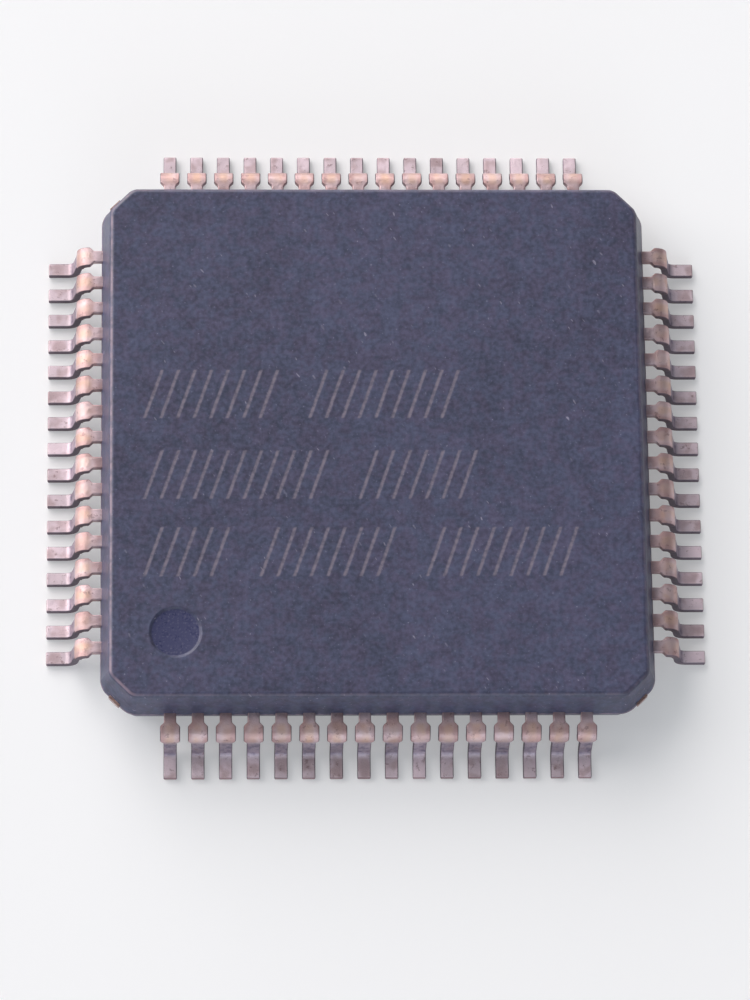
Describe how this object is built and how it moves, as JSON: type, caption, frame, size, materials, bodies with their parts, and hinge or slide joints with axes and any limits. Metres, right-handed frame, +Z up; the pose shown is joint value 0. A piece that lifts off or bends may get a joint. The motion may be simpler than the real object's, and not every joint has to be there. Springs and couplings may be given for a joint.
{
  "type": "audio processor chip",
  "caption": "Square low profile quad flat pack chip: a dark epoxy body with gull wing leads on all four sides, for soldering flat on a circuit board.",
  "frame": {"origin": "middle of the seating plane under the feet of the leads", "axes": "+Z up out of the marked top face, -Y towards the row of pins one to sixteen, pin one at -X, -Y"},
  "size_m": [0.012, 0.012, 0.0015],
  "materials": {
    "mould_epoxy": "fine matt grain",
    "plated_leads": "satin plated copper",
    "frame_copper": "rolled copper alloy",
    "die_adhesive": "cured silver filled paste",
    "silicon": "opaque polished silicon",
    "gold_wire": "drawn gold"
  },
  "bodies": {
    "root": {"mould_body": "mould_epoxy", "die_pad": "frame_copper", "die_attach": "die_adhesive", "die": "silicon", "leads_01_02": "plated_leads", "leads_03_04": "plated_leads", "leads_05_06": "plated_leads", "leads_07_08": "plated_leads", "leads_09_10": "plated_leads", "leads_11_12": "plated_leads", "leads_13_14": "plated_leads", "leads_15_16": "plated_leads", "leads_17_18": "plated_leads", "leads_19_20": "plated_leads", "leads_21_22": "plated_leads", "leads_23_24": "plated_leads", "leads_25_26": "plated_leads", "leads_27_28": "plated_leads", "leads_29_30": "plated_leads", "leads_31_32": "plated_leads", "leads_33_34": "plated_leads", "leads_35_36": "plated_leads", "leads_37_38": "plated_leads", "leads_39_40": "plated_leads", "leads_41_42": "plated_leads", "leads_43_44": "plated_leads", "leads_45_46": "plated_leads", "leads_47_48": "plated_leads", "leads_49_50": "plated_leads", "leads_51_52": "plated_leads", "leads_53_54": "plated_leads", "leads_55_56": "plated_leads", "leads_57_58": "plated_leads", "leads_59_60": "plated_leads", "leads_61_62": "plated_leads", "leads_63_64": "plated_leads", "bond_wires_01_04": "gold_wire", "bond_wires_05_08": "gold_wire", "bond_wires_09_12": "gold_wire", "bond_wires_13_16": "gold_wire", "bond_wires_17_20": "gold_wire", "bond_wires_21_24": "gold_wire", "bond_wires_25_28": "gold_wire", "bond_wires_29_32": "gold_wire", "bond_wires_33_36": "gold_wire", "bond_wires_37_40": "gold_wire", "bond_wires_41_44": "gold_wire", "bond_wires_45_48": "gold_wire", "bond_wires_49_52": "gold_wire", "bond_wires_53_56": "gold_wire", "bond_wires_57_60": "gold_wire", "bond_wires_61_64": "gold_wire"}
  },
  "joints": []
}
